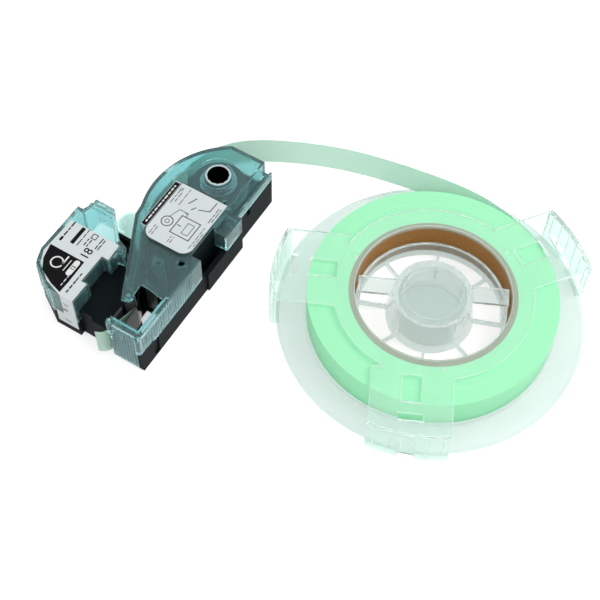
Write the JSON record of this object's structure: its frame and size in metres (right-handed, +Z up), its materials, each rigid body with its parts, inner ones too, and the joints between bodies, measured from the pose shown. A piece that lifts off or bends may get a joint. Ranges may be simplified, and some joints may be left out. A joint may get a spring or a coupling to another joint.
{
  "type": "label tape cassette",
  "caption": "Flat label tape cassette with clear covers over ink ribbon spools, fed by a separate large roll of label tape in a clear round holder.",
  "frame": {"origin": "the main locating hole of the cassette, at the level of its underside", "axes": "+X from the cassette's front face towards its rounded lobe, +Y to its left, away from the tape roll, +Z up"},
  "size_m": [0.1811, 0.2482, 0.032],
  "materials": {
    "black_case": "satin",
    "smoke_cover": "glossy",
    "white_sticker": "printed",
    "pale_plastic": "glossy",
    "ribbon": "glossy",
    "steel": "bright",
    "dark_rubber": "matt",
    "dark_plastic": "satin",
    "clear_guide": "glossy",
    "mint_tape": "satin",
    "mint_roll": "satin",
    "brown_core": "matt",
    "clear_holder": "glossy"
  },
  "bodies": {
    "case": {"lower_case": "black_case", "right_cover": "smoke_cover", "left_cover": "smoke_cover", "front_label": "white_sticker", "instruction_label": "white_sticker", "band_label": "white_sticker", "ribbon_film": "ribbon", "brake_washer": "steel", "brake_spring": "steel", "guide_pin": "steel", "ribbon_guide": "dark_plastic", "exit_guide": "dark_plastic", "tape_guide": "clear_guide", "tape_web": "mint_tape", "holder_base": "clear_holder", "holder_frame": "clear_holder"},
    "roll": {"tape_roll": "mint_roll", "roll_core": "brown_core"},
    "supply": {"supply_spool": "pale_plastic", "supply_film": "ribbon"},
    "takeup": {"takeup_spool": "pale_plastic", "takeup_film": "ribbon"},
    "platen": {"platen_shaft": "steel", "platen_rubber": "dark_rubber"},
    "idler": {"guide_roller": "pale_plastic"}
  },
  "joints": [
    {"name": "roll_spin", "type": "hinge", "parent": "case", "child": "roll", "pos_m": [0.0556, -0.1091, 0.0119], "axis": [0, 0, 1], "continuous": true},
    {"name": "supply_spin", "type": "hinge", "parent": "case", "child": "supply", "pos_m": [0.0548, 0.0149, 0.0129], "axis": [0, 0, 1], "continuous": true},
    {"name": "takeup_spin", "type": "hinge", "parent": "case", "child": "takeup", "pos_m": [0.0213, 0.0145, 0.0129], "axis": [0, 0, 1], "continuous": true},
    {"name": "platen_spin", "type": "hinge", "parent": "case", "child": "platen", "pos_m": [-0.0276, 0.0117, 0.0129], "axis": [0, 0, 1], "continuous": true},
    {"name": "idler_spin", "type": "hinge", "parent": "case", "child": "idler", "pos_m": [-0.0048, 0.0104, 0.0129], "axis": [0, 0, 1], "continuous": true}
  ],
  "couplings": [
    {"joint": "takeup_spin", "follows": "supply_spin", "ratio": 1.5217},
    {"joint": "idler_spin", "follows": "supply_spin", "ratio": -4.6667}
  ]
}
